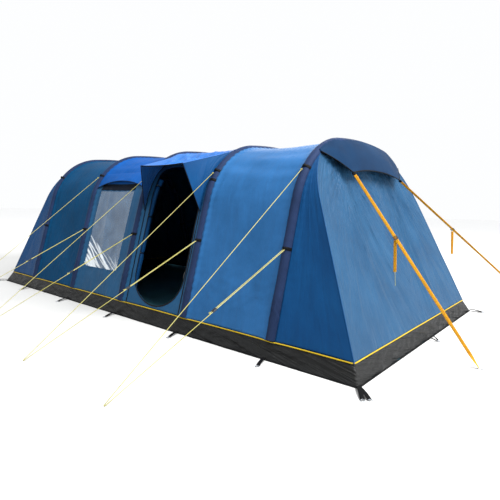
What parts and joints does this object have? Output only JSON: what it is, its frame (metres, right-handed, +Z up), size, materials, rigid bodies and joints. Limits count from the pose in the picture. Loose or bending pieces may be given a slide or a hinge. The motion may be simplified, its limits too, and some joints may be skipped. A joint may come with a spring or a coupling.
{
  "type": "tunnel tent",
  "caption": "Long inflatable-beam tunnel tent with sloped ends, a canopied side door, a clear window, roped arches and hooded end vents.",
  "frame": {"origin": "middle of the footprint, on the ground", "axes": "+X along the tunnel towards the rear end with the two storm straps, -Y towards the side door, +Z up"},
  "size_m": [6.9158, 6.178, 2.09],
  "materials": {
    "fly_cloth": "satin",
    "sleeve_cloth": "satin",
    "beam_bladder": "gloss",
    "mud_wall": "satin",
    "floor_sheet": "satin",
    "piping": "satin",
    "window_film": "gloss",
    "vent_mesh": "matte",
    "zip_tape": "matte",
    "inner_cloth": "matte",
    "guy_rope": "satin",
    "webbing": "satin",
    "moulded_plastic": "satin"
  },
  "bodies": {
    "tent": {"floor_sheet": "floor_sheet", "mud_wall_near": "mud_wall", "mud_wall_far": "mud_wall", "mud_wall_front": "mud_wall", "mud_wall_rear": "mud_wall", "piping": "piping", "air_beam_a": "beam_bladder", "air_beam_b": "beam_bladder", "air_beam_c": "beam_bladder", "air_beam_d": "beam_bladder", "air_beam_e": "beam_bladder", "beam_sleeve_a": "sleeve_cloth", "beam_sleeve_b": "sleeve_cloth", "beam_sleeve_c": "sleeve_cloth", "beam_sleeve_d": "sleeve_cloth", "beam_sleeve_e": "sleeve_cloth", "fly_bay_ab": "fly_cloth", "fly_bay_bc": "fly_cloth", "fly_bay_cd": "fly_cloth", "fly_bay_de": "fly_cloth", "window_wall": "fly_cloth", "door_wall": "fly_cloth", "window_pane": "window_film", "window_eave": "fly_cloth", "door_zip": "zip_tape", "door_roll": "fly_cloth", "canopy_roof": "fly_cloth", "canopy_wing_left": "fly_cloth", "canopy_wing_right": "fly_cloth", "rear_panel": "fly_cloth", "rear_side_near": "fly_cloth", "rear_side_far": "fly_cloth", "rear_vent": "vent_mesh", "rear_hood": "fly_cloth", "front_panel": "fly_cloth", "front_side_near": "fly_cloth", "front_side_far": "fly_cloth", "front_vent": "vent_mesh", "front_hood": "fly_cloth", "inner_tent": "inner_cloth", "guy_b": "guy_rope", "guy_c": "guy_rope", "guy_d": "guy_rope", "guy_e": "guy_rope", "storm_strap_near": "webbing", "storm_strap_far": "webbing"},
    "runner_b": {"runner_b": "moulded_plastic"},
    "runner_c": {"runner_c": "moulded_plastic"},
    "runner_d": {"runner_d": "moulded_plastic"},
    "runner_e": {"runner_e": "moulded_plastic"},
    "strap_buckle_near": {"strap_buckle_near": "moulded_plastic", "strap_tail_near": "webbing"},
    "strap_buckle_far": {"strap_buckle_far": "moulded_plastic", "strap_tail_far": "webbing"},
    "valve_cap_a": {"valve_cap_a": "moulded_plastic"},
    "valve_cap_b": {"valve_cap_b": "moulded_plastic"},
    "valve_cap_c": {"valve_cap_c": "moulded_plastic"},
    "valve_cap_d": {"valve_cap_d": "moulded_plastic"},
    "valve_cap_e": {"valve_cap_e": "moulded_plastic"},
    "door_slider": {"door_slider": "moulded_plastic"}
  },
  "joints": [
    {"name": "runner_b_slide", "type": "slide", "parent": "tent", "child": "runner_b", "axis": [0.1744, 0.8539, 0.4904], "range_m": [0, 0.4]},
    {"name": "runner_c_slide", "type": "slide", "parent": "tent", "child": "runner_c", "axis": [0.1694, 0.8546, 0.4909], "range_m": [0, 0.4]},
    {"name": "runner_d_slide", "type": "slide", "parent": "tent", "child": "runner_d", "axis": [0.1643, 0.8554, 0.4913], "range_m": [0, 0.4]},
    {"name": "runner_e_slide", "type": "slide", "parent": "tent", "child": "runner_e", "axis": [0.1259, 0.8602, 0.4941], "range_m": [0, 0.4]},
    {"name": "strap_buckle_near_slide", "type": "slide", "parent": "tent", "child": "strap_buckle_near", "axis": [-0.593, -0.0082, 0.8052], "range_m": [-0.3, 0.3]},
    {"name": "strap_buckle_far_slide", "type": "slide", "parent": "tent", "child": "strap_buckle_far", "axis": [-0.3712, -0.7657, 0.5253], "range_m": [-0.3, 0.3]},
    {"name": "valve_cap_a_turn", "type": "hinge", "parent": "tent", "child": "valve_cap_a", "pos_m": [-2.28, -1.52766, 0.45], "axis": [0, 0.9659, -0.2588], "range_deg": [0, 90]},
    {"name": "valve_cap_b_turn", "type": "hinge", "parent": "tent", "child": "valve_cap_b", "pos_m": [-1.14, -1.52766, 0.45], "axis": [0, 0.9659, -0.2588], "range_deg": [0, 90]},
    {"name": "valve_cap_c_turn", "type": "hinge", "parent": "tent", "child": "valve_cap_c", "pos_m": [0, -1.52766, 0.45], "axis": [0, 0.9659, -0.2588], "range_deg": [0, 90]},
    {"name": "valve_cap_d_turn", "type": "hinge", "parent": "tent", "child": "valve_cap_d", "pos_m": [1.14, -1.52766, 0.45], "axis": [0, 0.9659, -0.2588], "range_deg": [0, 90]},
    {"name": "valve_cap_e_turn", "type": "hinge", "parent": "tent", "child": "valve_cap_e", "pos_m": [2.28, -1.52766, 0.45], "axis": [0, 0.9659, -0.2588], "range_deg": [0, 90]},
    {"name": "door_slider_slide", "type": "slide", "parent": "tent", "child": "door_slider", "axis": [0, 0.2588, 0.9659], "range_m": [0, 0.7]}
  ]
}
